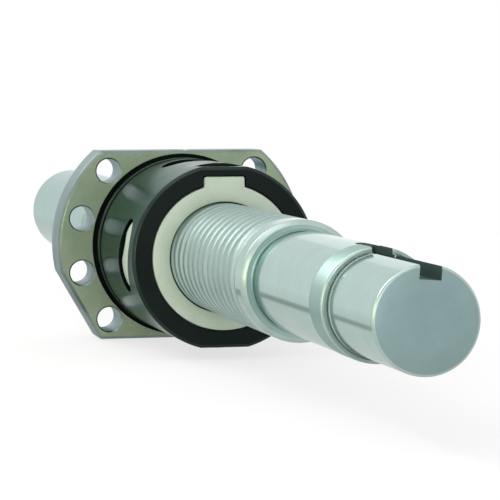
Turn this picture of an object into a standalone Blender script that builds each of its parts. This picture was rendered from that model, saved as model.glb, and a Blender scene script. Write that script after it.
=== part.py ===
"""Ball screw with a flanged ball nut, seen from the drive end.

Frame: the screw axis is X and the drive end points to +X; +Z is up. The origin
is on the axis, in the plane of the flange face that seats on the machine.
Values below are millimetres; make() turns them into metres.
"""
import math

import bpy
import numpy as np

for old in list(bpy.data.objects):
    bpy.data.objects.remove(old, do_unlink=True)

MM = 0.001
TAU = 2.0 * math.pi

GAP = 0.32              # free play left between pieces that touch in the real object
EDGE = 0.4              # small broken edge
CUT = 2.0               # how far a cutter runs past the face it opens
SAG = 0.08              # allowance for the flat sides of a turned face

# Ball thread, right hand.
LEAD = 8.0              # travel per turn
BALL_R = 2.38           # 4.76 mm balls
SCREW_R = 18.9          # outside radius of the screw
PITCH_R = SCREW_R + 1.1         # radius of the ball centres
GROOVE_X = 1.0          # groove centre at angle 0, modulo one lead
THREAD_LOW_X = -127.0   # the thread stays between these two stations
THREAD_HIGH_X = 180.0
SIDES = 16              # sides of the screw and of the nut's thread
CREST_HALF = BALL_R + GAP + 0.05    # half width of the groove at the outside of the screw
FLOOR_HALF = 0.48 * BALL_R      # half width of its floor

# Screw ends.
TAIL_X = -262.5
TAIL_CHAMFER = 1.0
SHOULDER_X = 186.0      # end of the full diameter
SHOULDER_CHAMFER = 1.5
JOURNAL_DROP = 2.95     # the bearing journal is this much smaller in radius than the screw
RELIEF_LENGTH = 10.0
JOURNAL_X = SHOULDER_X + RELIEF_LENGTH     # bearing journal
JOURNAL_R = SCREW_R - JOURNAL_DROP
RELIEF_R = JOURNAL_R - 0.65
JOURNAL_LENGTH = 63.0
BAND_X = JOURNAL_X + JOURNAL_LENGTH       # ground land at the end of the journal
BAND_R = JOURNAL_R + 0.15
BAND_LENGTH = 13.4
BAND_END_X = BAND_X + BAND_LENGTH
SEAT_DROP = 1.45        # from the bearing journal to the seat of the snap ring
SEAT_R = JOURNAL_R - SEAT_DROP
SEAT_LENGTH = 2.14
STEP_R = SEAT_R - 0.7   # relief groove next to the drive journal
STEP_LENGTH = 1.2
DRIVE_R = SEAT_R        # drive journal
DRIVE_LENGTH = 46.4     # from the land to the end of the screw
END_X = BAND_END_X + DRIVE_LENGTH
END_CHAMFER = 0.6
KEY_WIDTH = 5.9
KEY_DRAFT = 0.05        # its walls lean out by this much
KEY_DEPTH = 4.0
KEY_FLOOR = DRIVE_R - KEY_DEPTH     # height of the keyway floor over the axis
KEY_START_X = BAND_X - 7.0
KEY_TURN = -4.5         # the keyway leans this many degrees from the top

# Snap ring. Its opening stands over the keyway and clears both walls.
RING_IN_R = SEAT_R + 0.4
RING_OUT_R = SEAT_R + 1.35
RING_THICK = 1.5
RING_GAP_DEG = 2 * math.degrees(math.asin((KEY_WIDTH / 2 + KEY_DRAFT + GAP) / RING_IN_R))
RING_GAP_AT = 90.0 + KEY_TURN

# Nut.
FLANGE_T = 18.0
NUT_WALL = 11.65        # from the bore between the grooves to the outside of the barrel
FLANGE_RIM = 14.1       # how far the flange stands out over the barrel
FLANGE_SIDE = 2.6       # how far its two flats stand out over the barrel
FLANGE_BEVEL = 2.2      # how deep the third straight edge is cut
NUT_LAND_R = PITCH_R + 0.75     # bore between the grooves
BARREL_R = NUT_LAND_R + NUT_WALL
FLANGE_R = BARREL_R + FLANGE_RIM
FLANGE_HALF_H = BARREL_R + FLANGE_SIDE
FLANGE_CUT_AT = 210.0   # direction of the third straight edge
FLANGE_CUT = FLANGE_R - FLANGE_BEVEL    # its distance from the axis
FLANGE_CHAMFER = 1.0
HOLE_OUT = 6.6          # from the barrel to the hole circle
HOLE_CIRCLE_R = BARREL_R + HOLE_OUT
HOLE_R = 4.5
HOLE_ANGLES = (-45.0, -15.0, 15.0, 45.0, 135.0, 165.0, 195.0, 225.0)
NUT_X = 75.7            # near face of the nut
BARREL_CHAMFER = 1.1
UNDERCUT_R = BARREL_R - 1.8
UNDERCUT_W = 2.0
RECESS_R = BARREL_R + 1.2
RECESS_DEPTH = 0.8
LINE_X = 7.0            # turned groove beside the undercut
LINE_W = 3.6
LINE_R = BARREL_R - 0.6
NUT_FLAT = BARREL_R - 1.1       # flats at the top and bottom of the near end
NUT_FLAT_W = 11.0
NUT_FLOOR_R = (PITCH_R + BALL_R + GAP) / math.cos(math.pi / SIDES) + EDGE / 8
NUT_CREST_HALF = BALL_R + GAP + 0.5
NUT_FLOOR_HALF = 0.6 * BALL_R
LEDGE = 0.6             # the bore is roughed out this much smaller than its thread

# Wipers.
WIPER_WALL = 4.55
WIPER_R = NUT_LAND_R + WIPER_WALL
WIPER_BORE_R = SCREW_R + GAP + SAG
WIPER_T = 7.4
REAR_WIPER_T = 5.6
WIPER_SET = 0.2         # how far the wiper stays under the face
TAB_HALF = 7.2
TAB_TOP = WIPER_R + 2.7
TAB_ROOT = WIPER_R - 3.3        # where the tab starts inside the ring
TAB_T = 4.0

# Return inserts, one per circuit: the angle of each and the turn of the land it bridges.
INSERT_ANGLES = (180.0, 0.0, 90.0, 270.0)
INSERT_TURNS = (6, 5, 3, 1)
INSERTS = [(angle, GROOVE_X + LEAD * (land + 0.5 + angle / 360.0))
           for angle, land in zip(INSERT_ANGLES, INSERT_TURNS)]
INSERT_WALL = 1.12
INSERT_HALF_W = LEAD / 2 + BALL_R + INSERT_WALL
INSERT_HALF_L = 13.0
INSERT_TILT = 24.5
INSERT_SINK = 1.1       # how far an insert stays under the barrel
CROSS_DEG = 22.0        # half the angle in which a ball crosses the land
CROSS_LIFT = 1.7
TRAIN_FROM = 27.0       # first ball of the loaded turn, from the insert
BALL_DEG = math.degrees(BALL_R / PITCH_R)       # half the angle that one ball takes up
TRAIN_BALLS = 1 + math.floor((360.0 - 2 * TRAIN_FROM) / (2.12 * BALL_DEG))
NECK_R = 0.7
RETURN_DEG = (-13.0, 0.0, 13.0)

# Lubrication port in the upper flat of the flange.
PORT_X = -9.0
PORT_R = 4.0
PORT_DEPTH = 7.0
PORT_FLOOR = FLANGE_HALF_H - PORT_DEPTH
PORT_BORE_R = 1.5
PLUG_LENGTH = 5.4
PLUG_SINK = 0.6
SOCKET_R = 2.2
SOCKET_DEPTH = 2.6


def material(name, colour, metallic, roughness):
    mat = bpy.data.materials.new(name)
    mat.use_nodes = True
    shader = mat.node_tree.nodes["Principled BSDF"]
    shader.inputs["Base Color"].default_value = (*colour, 1.0)
    shader.inputs["Metallic"].default_value = metallic
    shader.inputs["Roughness"].default_value = roughness
    return mat


def make(name, verts, faces, colour=(0.5, 0.5, 0.5), metallic=1.0, roughness=0.35):
    """Make one object from vertices in millimetres."""
    mesh = bpy.data.meshes.new(name)
    mesh.from_pydata((np.asarray(verts, float) * MM).tolist(), [], [list(f) for f in faces])
    mesh.validate()
    mesh.shade_smooth()
    mesh.set_sharp_from_angle(angle=math.radians(30.0))
    obj = bpy.data.objects.new(name, mesh)
    bpy.context.scene.collection.objects.link(obj)
    mesh.materials.append(material(name, colour, metallic, roughness))
    return obj


def cutter(name, verts, faces):
    obj = make(name, verts, faces)
    obj.hide_render = True
    obj.display_type = "WIRE"
    return obj


def combine(obj, other, operation):
    mod = obj.modifiers.new(other.name, "BOOLEAN")
    mod.operation = operation
    mod.solver = "EXACT"
    mod.object = other


def join(parts):
    """Join (vertices, faces) pairs into one pair."""
    verts, faces = [], []
    for part_verts, part_faces in parts:
        shift = len(verts)
        verts.extend(list(map(tuple, part_verts)))
        faces.extend([tuple(i + shift for i in face) for face in part_faces])
    return verts, faces


def circle_ring(x, radius, angles):
    return [(x, radius * math.cos(a), radius * math.sin(a)) for a in angles]


def even_angles(count):
    return [TAU * i / count for i in range(count)]


def loft(rings, closed):
    """Skin rings of equal length; closed joins the last ring to the first."""
    count = len(rings[0])
    verts = [point for ring in rings for point in ring]
    faces = []
    last = len(rings) if closed else len(rings) - 1
    for r in range(last):
        low, high = r * count, ((r + 1) % len(rings)) * count
        for i in range(count):
            j = (i + 1) % count
            faces.append((low + i, low + j, high + j, high + i))
    if not closed:
        faces.append(tuple(reversed(range(count))))
        faces.append(tuple(range((len(rings) - 1) * count, len(rings) * count)))
    return verts, faces


def lathe(profile, count, closed=True):
    """Turn an (x, radius) profile about X, ordered from low x to high on the outside."""
    return loft([circle_ring(x, radius, even_angles(count)) for x, radius in profile], closed)


def box(low, high):
    x0, y0, z0 = low
    x1, y1, z1 = high
    verts = [(x0, y0, z0), (x0, y1, z0), (x0, y1, z1), (x0, y0, z1),
             (x1, y0, z0), (x1, y1, z0), (x1, y1, z1), (x1, y0, z1)]
    faces = [(0, 3, 2, 1), (4, 5, 6, 7), (0, 1, 5, 4), (1, 2, 6, 5), (2, 3, 7, 6), (3, 0, 4, 7)]
    return verts, faces


def tapered_box(low, high, spread):
    """Box whose upper face stands out by spread on every side."""
    verts, faces = box(low, high)
    out = [(x, y, z) if z == low[2] else
           (x + (spread if x == high[0] else -spread), y + (spread if y == high[1] else -spread), z)
           for x, y, z in verts]
    return out, faces


def turn(verts, degrees):
    """Turn vertices about X."""
    c, s = math.cos(math.radians(degrees)), math.sin(math.radians(degrees))
    return [(x, y * c - z * s, y * s + z * c) for x, y, z in verts]


def rod_z(x, y, radius, z_low, z_high, count):
    rings = []
    for z in (z_low, z_high):
        rings.append([(x + radius * math.cos(a), y + radius * math.sin(a), z)
                      for a in even_angles(count)])
    return loft(rings, False)


def threaded_rod(low_rings, high_rings, radius, floor, turns, crest_half, floor_half, count):
    """Make a rod with a helical groove or ridge as one closed skin.

    The groove runs at x = GROOVE_X + LEAD * (turn + angle / TAU). Its depth fades out in the
    first and last turn, so both ends of the helical grid close on plain rings.
    """
    first, last = turns
    offsets = (-crest_half, -floor_half, floor_half, crest_half)
    step = len(offsets)
    angles = even_angles(count)
    rows = (last - first + 1) * step
    fade_low = GROOVE_X + LEAD * first + LEAD
    fade_high = GROOVE_X + LEAD * last + crest_half
    verts, faces = [], []
    for x, ring_radius in low_rings:
        verts.extend(circle_ring(x, ring_radius, angles))
    for r in range(len(low_rings) - 1):
        for i in range(count):
            j = (i + 1) % count
            faces.append((r * count + i, r * count + j, (r + 1) * count + j, (r + 1) * count + i))
    grid = len(verts)
    for k in range(rows):
        turn_index, part = divmod(k, step)
        for i, angle in enumerate(angles):
            x = GROOVE_X + LEAD * (first + turn_index + angle / TAU) + offsets[part]
            blend = min(max((x - fade_low) / crest_half, 0.0), 1.0) \
                * min(max((fade_high - x) / crest_half, 0.0), 1.0)
            r = radius + (floor - radius) * blend if part in (1, 2) else radius
            verts.append((x, r * math.cos(angle), r * math.sin(angle)))

    def at(k, i):
        return grid + k * count + i

    for k in range(rows - 1):
        for i in range(count - 1):
            faces.append((at(k, i), at(k, i + 1), at(k + 1, i + 1), at(k + 1, i)))
    for k in range(rows - step - 1):
        faces.append((at(k, count - 1), at(k + step, 0), at(k + step + 1, 0),
                      at(k + 1, count - 1)))
    # The plain ring before the grid, with the step of one lead at the seam.
    base = (len(low_rings) - 1) * count
    for i in range(count - 1):
        faces.append((base + i, base + i + 1, at(0, i + 1), at(0, i)))
    faces.append((base + count - 1, base) + tuple(at(k, 0) for k in range(step + 1)) + (at(0, count - 1),))
    high = len(verts)
    for x, ring_radius in high_rings:
        verts.extend(circle_ring(x, ring_radius, angles))
    top = rows - 1
    for i in range(count - 1):
        faces.append((at(top, i), at(top, i + 1), high + i + 1, high + i))
    faces.append((at(top, 0), high, high + count - 1)
                 + tuple(at(k, count - 1) for k in range(top, top - step - 1, -1)))
    for r in range(len(high_rings) - 1):
        for i in range(count):
            j = (i + 1) % count
            faces.append((high + r * count + i, high + r * count + j,
                          high + (r + 1) * count + j, high + (r + 1) * count + i))
    faces.append(tuple(reversed(range(count))))
    end = high + (len(high_rings) - 1) * count
    faces.append(tuple(range(end, end + count)))
    return verts, faces


def tube(path, radii, sides):
    """Sweep circles along a path; each circle stands across the path."""
    path = np.asarray(path, float)
    way = np.gradient(path, axis=0)
    way /= np.linalg.norm(way, axis=1)[:, None]
    rings = []
    for point, direction, radius in zip(path, way, radii):
        out = np.array([0.0, point[1], point[2]])
        out -= direction * np.dot(out, direction)
        out /= np.linalg.norm(out)
        side = np.cross(direction, out)
        rings.append([tuple(point + radius * (math.cos(a) * out + math.sin(a) * side))
                      for a in even_angles(sides)])
    return loft(rings, False)


def on_helix(insert, degrees):
    """Ball centre in the loaded turn, measured in degrees from the insert."""
    angle, middle = insert
    a = math.radians(angle + degrees)
    x = middle - LEAD / 2 + LEAD * degrees / 360.0
    return (x, PITCH_R * math.cos(a), PITCH_R * math.sin(a))


def on_return(insert, degrees):
    """Ball centre in the crossover, where it climbs over the land and back one lead."""
    angle, middle = insert
    a = math.radians(angle + degrees)
    if abs(degrees) >= CROSS_DEG:
        return on_helix(insert, degrees if degrees > 0 else degrees + 360.0)
    edge = LEAD / 2 - LEAD * CROSS_DEG / 360.0
    part = degrees / CROSS_DEG * math.pi / 2
    r = PITCH_R + CROSS_LIFT * math.cos(part) ** 0.6
    return (middle - edge * math.sin(part), r * math.cos(a), r * math.sin(a))


def insert_block(insert, grow, r_in, r_out):
    """Rounded slot shape, tilted across the lead; grow widens it on every side."""
    angle, middle = insert
    tilt = math.radians(INSERT_TILT)
    half_w = INSERT_HALF_W + grow
    straight = INSERT_HALF_L - INSERT_HALF_W
    outline = []
    for i in range(24):
        a = TAU * (i + 0.5) / 24
        along = half_w * math.cos(a) + (straight if math.cos(a) > 0 else -straight)
        across = half_w * math.sin(a)
        outline.append((along * math.cos(tilt) + across * math.sin(tilt),
                        -along * math.sin(tilt) + across * math.cos(tilt)))
    outline = np.array(outline)
    reach = 0.99 * outline[:, 0].max()
    columns = np.sin(np.linspace(-math.pi / 2, math.pi / 2, 11)) * reach
    closed = np.vstack([outline, outline[:1]])
    rings = []
    for u in columns:
        cuts = []
        for p, q in zip(closed[:-1], closed[1:]):
            if (p[0] - u) * (q[0] - u) < 0:
                cuts.append(p[1] + (q[1] - p[1]) * (u - p[0]) / (q[0] - p[0]))
        low, high = min(cuts), max(cuts)
        z_in = math.sqrt(max(r_in ** 2 - u ** 2, 1.0))
        z_out = math.sqrt(r_out ** 2 - u ** 2)
        # In the local frame Y is the tangent -u at the top, Z the outward direction.
        rings.append([(middle + low, -u, z_in), (middle + high, -u, z_in),
                      (middle + high, -u, z_out), (middle + low, -u, z_out)])
    verts, faces = loft(rings, False)
    return turn(verts, angle - 90.0), faces


# Screw: plain tail, ball thread, shoulder, bearing journal with its land, snap ring
# seat, drive journal with an open keyway.
turn_low = math.ceil((THREAD_LOW_X - GROOVE_X) / LEAD)
turn_high = math.floor((THREAD_HIGH_X - CREST_HALF - GROOVE_X) / LEAD) - 1
tail = [(TAIL_X, SCREW_R - TAIL_CHAMFER), (TAIL_X + TAIL_CHAMFER, SCREW_R),
        (GROOVE_X + LEAD * turn_low - CREST_HALF - EDGE, SCREW_R)]
seat_end = BAND_END_X + SEAT_LENGTH
step_end = seat_end + STEP_LENGTH
head = [(SHOULDER_X - SHOULDER_CHAMFER, SCREW_R),
        (SHOULDER_X, SCREW_R - SHOULDER_CHAMFER), (SHOULDER_X, RELIEF_R),
        (JOURNAL_X - 2 * EDGE, RELIEF_R), (JOURNAL_X, JOURNAL_R), (BAND_X, JOURNAL_R),
        (BAND_X + EDGE, BAND_R), (BAND_END_X - 2 * EDGE, BAND_R), (BAND_END_X, BAND_R - 2 * EDGE),
        (BAND_END_X, SEAT_R), (seat_end, SEAT_R), (seat_end, STEP_R), (step_end, STEP_R),
        (step_end + EDGE, DRIVE_R), (END_X - END_CHAMFER, DRIVE_R), (END_X, DRIVE_R - END_CHAMFER)]
verts, faces = threaded_rod(tail, head, SCREW_R, PITCH_R - BALL_R - GAP, (turn_low, turn_high),
                            CREST_HALF, FLOOR_HALF, SIDES)
screw = make("screw_shaft", verts, faces, (0.46, 0.57, 0.55), 1.0, 0.28)
key_verts, key_faces = tapered_box((KEY_START_X, -KEY_WIDTH / 2, KEY_FLOOR),
                                   (END_X + CUT, KEY_WIDTH / 2, BAND_R + CUT), KEY_DRAFT)
combine(screw, cutter("keyway_cut", turn(key_verts, KEY_TURN), key_faces), "DIFFERENCE")

# Snap ring on its seat, open over the keyway.
ring_x = BAND_END_X + (SEAT_LENGTH - RING_THICK) / 2
rings = []
for i in range(25):
    a = math.radians(RING_GAP_AT + RING_GAP_DEG / 2 + (360.0 - RING_GAP_DEG) * i / 24)
    c, s = math.cos(a), math.sin(a)
    rings.append([(ring_x, RING_IN_R * c, RING_IN_R * s),
                  (ring_x + RING_THICK, RING_IN_R * c, RING_IN_R * s),
                  (ring_x + RING_THICK, RING_OUT_R * c, RING_OUT_R * s),
                  (ring_x, RING_OUT_R * c, RING_OUT_R * s)])
make("snap_ring", *loft(rings, False), (0.42, 0.48, 0.45), 1.0, 0.35)

# Nut body: every ring uses the same angles, so flange, barrel and bore are one skin.
flat_corner = math.asin(FLANGE_HALF_H / FLANGE_R)
cut_corner = math.acos(FLANGE_CUT / FLANGE_R)
cut_at = math.radians(FLANGE_CUT_AT)
near_corner = math.acos(NUT_FLAT / BARREL_R)
corners = [flat_corner, math.pi - flat_corner, math.pi + flat_corner, TAU - flat_corner,
           cut_at - cut_corner, cut_at + cut_corner,
           math.pi / 2 - near_corner, math.pi / 2 + near_corner,
           1.5 * math.pi - near_corner, 1.5 * math.pi + near_corner]
nut_angles = list(corners)
for a in even_angles(36):
    if min(abs(a - b) for b in corners) > math.radians(3.0):
        nut_angles.append(a)
nut_angles.sort()


def nut_ring(x, radius, half_height=None, cut=None):
    ring = []
    for a in nut_angles:
        r = radius
        if half_height is not None and abs(math.sin(a)) > 1e-6:
            r = min(r, half_height / abs(math.sin(a)))
        if cut is not None and math.cos(a - cut_at) > 0:
            r = min(r, cut / math.cos(a - cut_at))
        ring.append((x, r * math.cos(a), r * math.sin(a)))
    return ring


inset = FLANGE_CHAMFER
full = (FLANGE_R, FLANGE_HALF_H, FLANGE_CUT)
small = (FLANGE_R - inset, FLANGE_HALF_H - inset, FLANGE_CUT - inset)
pocket_r = WIPER_R + GAP + SAG
face_r = BARREL_R - BARREL_CHAMFER
flat_from = NUT_X - NUT_FLAT_W
front_floor = NUT_X - WIPER_SET - WIPER_T - GAP
rear_floor = WIPER_SET + REAR_WIPER_T + GAP - FLANGE_T
nut_rings = [
    nut_ring(-FLANGE_T, pocket_r), nut_ring(-FLANGE_T, *small),
    nut_ring(inset - FLANGE_T, *full), nut_ring(-inset, *full), nut_ring(0.0, *small),
    nut_ring(0.0, RECESS_R), nut_ring(-RECESS_DEPTH, RECESS_R), nut_ring(-RECESS_DEPTH, UNDERCUT_R),
    nut_ring(UNDERCUT_W, UNDERCUT_R), nut_ring(UNDERCUT_W + EDGE, BARREL_R),
    nut_ring(LINE_X, BARREL_R), nut_ring(LINE_X + EDGE / 2, LINE_R),
    nut_ring(LINE_X + LINE_W - EDGE / 2, LINE_R), nut_ring(LINE_X + LINE_W, BARREL_R),
    nut_ring(flat_from, BARREL_R), nut_ring(flat_from, BARREL_R, NUT_FLAT),
    nut_ring(NUT_X - BARREL_CHAMFER, BARREL_R, NUT_FLAT),
    nut_ring(NUT_X, face_r, NUT_FLAT - BARREL_CHAMFER),
    nut_ring(NUT_X, pocket_r), nut_ring(front_floor, pocket_r),
    nut_ring(front_floor, NUT_LAND_R - LEDGE), nut_ring(rear_floor, NUT_LAND_R - LEDGE),
    nut_ring(rear_floor, pocket_r)]
nut = make("nut_body", *loft(nut_rings, True), (0.20, 0.24, 0.20), 1.0, 0.25)

nut_turns = (min(INSERT_TURNS) - 1, max(INSERT_TURNS) + 2)
thread_start = GROOVE_X + LEAD * nut_turns[0] - NUT_CREST_HALF
thread_end = GROOVE_X + LEAD * (nut_turns[1] + 1) + NUT_CREST_HALF
plug = [(min(thread_start, -FLANGE_T) - CUT, NUT_LAND_R)]
plug_end = [(max(thread_end, NUT_X) + CUT, NUT_LAND_R)]
plug_verts, plug_faces = threaded_rod(plug, plug_end, NUT_LAND_R, NUT_FLOOR_R, nut_turns,
                                      NUT_CREST_HALF, NUT_FLOOR_HALF, SIDES)
combine(nut, cutter("nut_thread_cut", plug_verts, plug_faces), "DIFFERENCE")

holes = []
for angle in HOLE_ANGLES:
    rod_verts, rod_faces = rod_z(0.0, 0.0, HOLE_R, -FLANGE_T - CUT, CUT, 16)
    y = HOLE_CIRCLE_R * math.cos(math.radians(angle))
    z = HOLE_CIRCLE_R * math.sin(math.radians(angle))
    holes.append(([(c, y + a, z + b) for a, b, c in rod_verts], rod_faces))
combine(nut, cutter("bolt_holes_cut", *join(holes)), "DIFFERENCE")

pockets = [insert_block(insert, GAP, NUT_LAND_R - 4 * CUT, BARREL_R + 2 * CUT) for insert in INSERTS]
combine(nut, cutter("insert_pockets_cut", *join(pockets)), "DIFFERENCE")

notch_half = TAB_HALF + GAP
notch_front = box((NUT_X - WIPER_SET - TAB_T - GAP, -notch_half, TAB_ROOT),
                  (NUT_X + CUT, notch_half, TAB_TOP + GAP))
notch_rear = box((-FLANGE_T - CUT, -notch_half, TAB_ROOT),
                 (WIPER_SET + TAB_T + GAP - FLANGE_T, notch_half, TAB_TOP + GAP))
combine(nut, cutter("wiper_notch_cut", *join([notch_front, notch_rear])), "DIFFERENCE")
combine(nut, cutter("port_cut", *rod_z(PORT_X, 0.0, PORT_R, PORT_FLOOR, FLANGE_HALF_H + CUT, 20)),
        "DIFFERENCE")
combine(nut, cutter("port_bore_cut", *rod_z(PORT_X, 0.0, PORT_BORE_R, NUT_LAND_R - 2 * CUT,
                                            PORT_FLOOR + CUT, 12)), "DIFFERENCE")

# Lubrication plug with its socket.
plug_top = FLANGE_HALF_H - PLUG_SINK
lube = make("lube_plug", *rod_z(PORT_X, 0.0, PORT_R - GAP - SAG, plug_top - PLUG_LENGTH, plug_top, 20),
            (0.30, 0.30, 0.30), 1.0, 0.4)
combine(lube, cutter("socket_cut", *rod_z(PORT_X, 0.0, SOCKET_R, plug_top - SOCKET_DEPTH,
                                          plug_top + CUT, 6)), "DIFFERENCE")

# Wipers: rings with one wide tab each.
WIPER_COLOUR = (0.46, 0.54, 0.43)
front_low = NUT_X - WIPER_SET - WIPER_T
front_high = NUT_X - WIPER_SET
wiper = make("wiper_front", *lathe([(front_low, WIPER_BORE_R), (front_low, WIPER_R),
                                    (front_high, WIPER_R), (front_high, WIPER_BORE_R)], 32),
             WIPER_COLOUR, 0.0, 0.6)
combine(wiper, cutter("tab_front", *box((front_high - TAB_T, -TAB_HALF, TAB_ROOT),
                                        (front_high, TAB_HALF, TAB_TOP))), "UNION")
rear_low = WIPER_SET - FLANGE_T
rear_high = rear_low + REAR_WIPER_T
wiper = make("wiper_rear", *lathe([(rear_low, WIPER_BORE_R), (rear_low, WIPER_R),
                                   (rear_high, WIPER_R), (rear_high, WIPER_BORE_R)], 32),
             WIPER_COLOUR, 0.0, 0.6)
combine(wiper, cutter("tab_rear", *box((rear_low, -TAB_HALF, TAB_ROOT),
                                       (rear_low + TAB_T, TAB_HALF, TAB_TOP))), "UNION")

# Four circuits: an insert, the balls of the loaded turn as one train, and three balls
# crossing back through the insert.
for number, insert in enumerate(INSERTS, 1):
    block = make(f"return_insert_{number}",
                 *insert_block(insert, 0.0, NUT_LAND_R - SAG, BARREL_R - INSERT_SINK),
                 (0.48, 0.55, 0.44), 0.0, 0.5)
    span = np.linspace(-42.0, 42.0, 15)
    channel = tube([on_return(insert, d) for d in span], [(BALL_R + GAP) / math.cos(math.pi / 8)] * len(span), 8)
    combine(block, cutter(f"channel_cut_{number}", *channel), "DIFFERENCE")

    spacing = (360.0 - 2 * TRAIN_FROM) / (TRAIN_BALLS - 1)
    places, radii = [], []
    for ball in range(TRAIN_BALLS):
        middle = TRAIN_FROM + spacing * ball
        for part, radius in ((-0.92, NECK_R), (-0.36, 0.93 * BALL_R), (0.36, 0.93 * BALL_R)):
            places.append(on_helix(insert, middle + part * BALL_DEG))
            radii.append(radius)
    places.append(on_helix(insert, middle + 0.92 * BALL_DEG))
    radii.append(NECK_R)
    make(f"ball_train_{number}", *tube(places, radii, 5), (0.55, 0.57, 0.58), 1.0, 0.15)

    for letter, degrees in zip("abc", RETURN_DEG):
        cx, cy, cz = on_return(insert, degrees)
        poles = [(cx - BALL_R * math.cos(t), BALL_R * math.sin(t)) for t in (0.35, 1.1, 2.04, 2.79)]
        rings = [[(x, cy + r * math.cos(a), cz + r * math.sin(a)) for a in even_angles(8)]
                 for x, r in poles]
        make(f"return_ball_{number}{letter}", *loft(rings, False), (0.55, 0.57, 0.58), 1.0, 0.15)
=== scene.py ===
"""A flanged ball screw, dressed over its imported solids.

The screw's axis is X, the drive end points to +X and +Z is up. Sizes are in
millimetres and become metres where a mesh is made. The file follows the object
as it is put together: screw, nut, returns, balls, wipers, plug and ring.
"""
import math

import bmesh
import bpy
import numpy as np
from mathutils import Matrix, Vector


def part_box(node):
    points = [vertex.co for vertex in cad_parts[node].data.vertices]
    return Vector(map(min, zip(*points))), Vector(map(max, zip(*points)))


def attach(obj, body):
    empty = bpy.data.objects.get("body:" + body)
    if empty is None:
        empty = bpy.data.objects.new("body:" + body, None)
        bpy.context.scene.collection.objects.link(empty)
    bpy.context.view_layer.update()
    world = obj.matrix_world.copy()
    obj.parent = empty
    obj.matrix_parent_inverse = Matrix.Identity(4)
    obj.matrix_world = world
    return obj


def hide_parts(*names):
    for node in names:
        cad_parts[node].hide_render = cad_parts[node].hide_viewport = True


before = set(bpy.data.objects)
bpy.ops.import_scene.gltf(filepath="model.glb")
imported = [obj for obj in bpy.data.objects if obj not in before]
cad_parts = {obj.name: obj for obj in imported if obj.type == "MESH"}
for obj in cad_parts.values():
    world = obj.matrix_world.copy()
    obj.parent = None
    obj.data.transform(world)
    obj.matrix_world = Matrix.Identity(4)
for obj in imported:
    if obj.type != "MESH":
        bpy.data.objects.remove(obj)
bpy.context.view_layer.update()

# The screw shaft.
# One bar of hardened bearing steel. The ball thread is ground into it as a gothic arch, and
# its land, the bearing journal and the drive journal are ground round about the same axis.
MM = 0.001
TURN = 2.0 * math.pi


def reach(node):
    """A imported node's lowest and highest corners in millimetres."""
    return [np.round(np.array(corner) / MM, 3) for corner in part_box(node)]


# The middle of a groove crosses the +Y side at GROOVE_X and at each LEAD from there. The thread
# covers the turns from the first to the last of THREAD_TURNS, counted from that place, and its
# groove fades in and out over THREAD_FADE.
LEAD = 8.0
BALL_R = 2.38
LAND_R = 18.9
PITCH_R = 20.0
GROOVE_R = 2.6
GROOVE_X = 1.0
ARCH_OFFSET = 0.15
THREAD_TURNS = (-16, 21)
THREAD_FADE = 3.5
# Stations along the axis and the radii between them, from the tail to the drive end.
(TAIL_X, _, _), (END_X, _, _) = reach("screw_shaft")
TAIL_MIDDLE_X = -200.0
SHOULDER_X = 186.0
JOURNAL_X = 196.0
BAND_X = 259.0
BAND_END_X = 272.4
SEAT_LENGTH = 2.14
STEP_LENGTH = 1.2
RELIEF_R = 15.3
JOURNAL_R = 15.95
BAND_R = 16.1
SEAT_R = 14.5
STEP_R = 13.8
DRIVE_R = 14.5
FILLET_R = 0.9
# The keyway, turned about the axis by KEY_TURN degrees from the top.
KEY_WIDTH = 5.9
KEY_FLOOR = 10.5
KEY_START_X = 252.0
KEY_MIDDLE_X = 290.0
KEY_TURN = -4.5
STAIN_SIZE = 12.0


def linear(code):
    """Linear colour of an sRGB hex code: c / 12.92 up to 0.04045, else ((c + 0.055) / 1.055) ** 2.4."""
    c = np.array([int(code[i:i + 2], 16) for i in (1, 3, 5)]) / 255.0
    return (*np.where(c <= 0.04045, c / 12.92, ((c + 0.055) / 1.055) ** 2.4), 1.0)


def add(tree, kind, inputs=None, **settings):
    """One node with its settings; an input is a constant, or a socket to link from."""
    made = tree.nodes.new(kind)
    for name, value in settings.items():
        setattr(made, name, value)
    for name, value in (inputs or {}).items():
        if isinstance(value, bpy.types.NodeSocket):
            tree.links.new(value, made.inputs[name])
        else:
            made.inputs[name].default_value = value
    return made


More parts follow.
